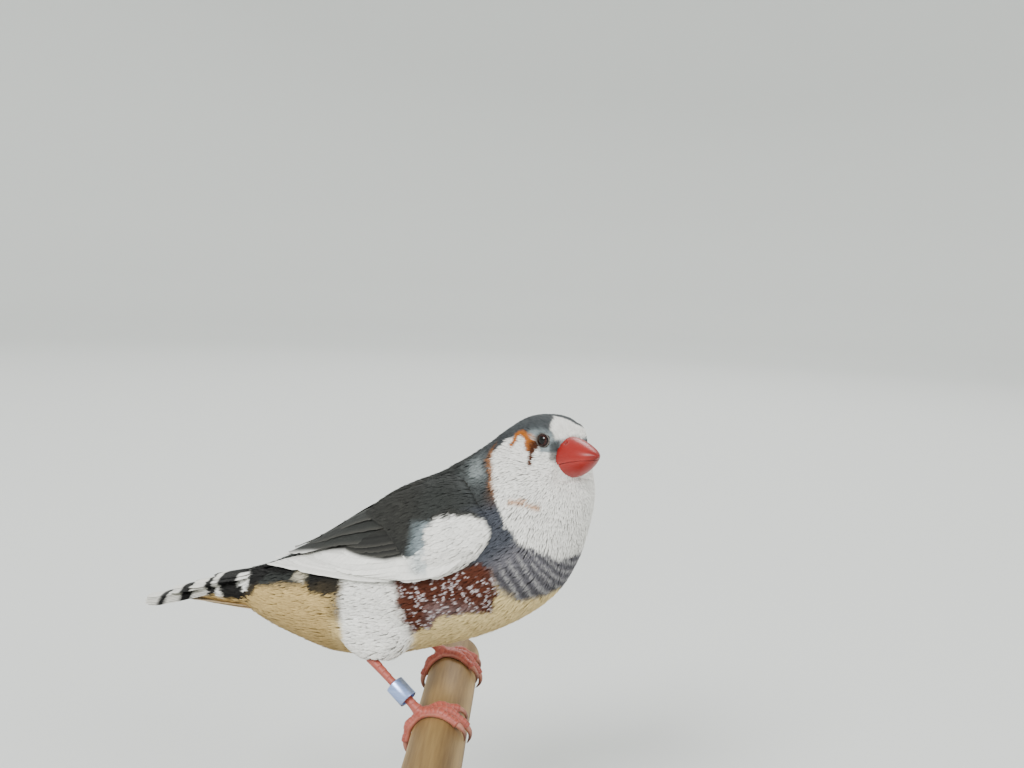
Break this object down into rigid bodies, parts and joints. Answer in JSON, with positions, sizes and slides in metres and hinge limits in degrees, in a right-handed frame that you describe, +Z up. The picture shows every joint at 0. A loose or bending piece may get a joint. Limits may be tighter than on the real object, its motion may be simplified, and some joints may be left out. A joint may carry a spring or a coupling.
{
  "type": "zebra finch model on a perch stand",
  "caption": "Life-size still model of a pied zebra finch with its head turned, gripping a short round perch on a flat display stand.",
  "frame": {"origin": "centre of the underside of the stand's base", "axes": "+X the way the bird's body faces, +Y along the perch towards the bird's left, +Z up"},
  "size_m": [0.1111, 0.092, 0.1095],
  "materials": {
    "grey_plumage": "soft matt dark grey feathers",
    "white_plumage": "soft matt white feathers",
    "tail_plumage": "matt black feathers with white bars",
    "bill_horn": "smooth waxy red horn",
    "eye": "wet dark brown",
    "leg_skin": "scaly pink-red skin",
    "claw_horn": "translucent brown horn",
    "ring_metal": "pale blue anodised closed leg ring",
    "perch_wood": "worn bare dowel",
    "base_wood": "satin dark-stained wood",
    "rod_steel": "brushed"
  },
  "bodies": {
    "root": {"head": "grey_plumage", "neck": "white_plumage", "torso": "grey_plumage", "bill_upper": "bill_horn", "bill_lower": "bill_horn", "eye_left": "eye", "eye_right": "eye", "wing_left": "white_plumage", "wing_right": "white_plumage", "tail": "tail_plumage", "leg_left": "leg_skin", "leg_right": "leg_skin", "claw_left_1": "claw_horn", "claw_left_2": "claw_horn", "claw_left_3": "claw_horn", "claw_left_4": "claw_horn", "claw_right_1": "claw_horn", "claw_right_2": "claw_horn", "claw_right_3": "claw_horn", "claw_right_4": "claw_horn", "leg_ring": "ring_metal", "perch": "perch_wood", "stand_base": "base_wood", "stand_rod_near": "rod_steel", "stand_rod_far": "rod_steel"}
  },
  "joints": []
}
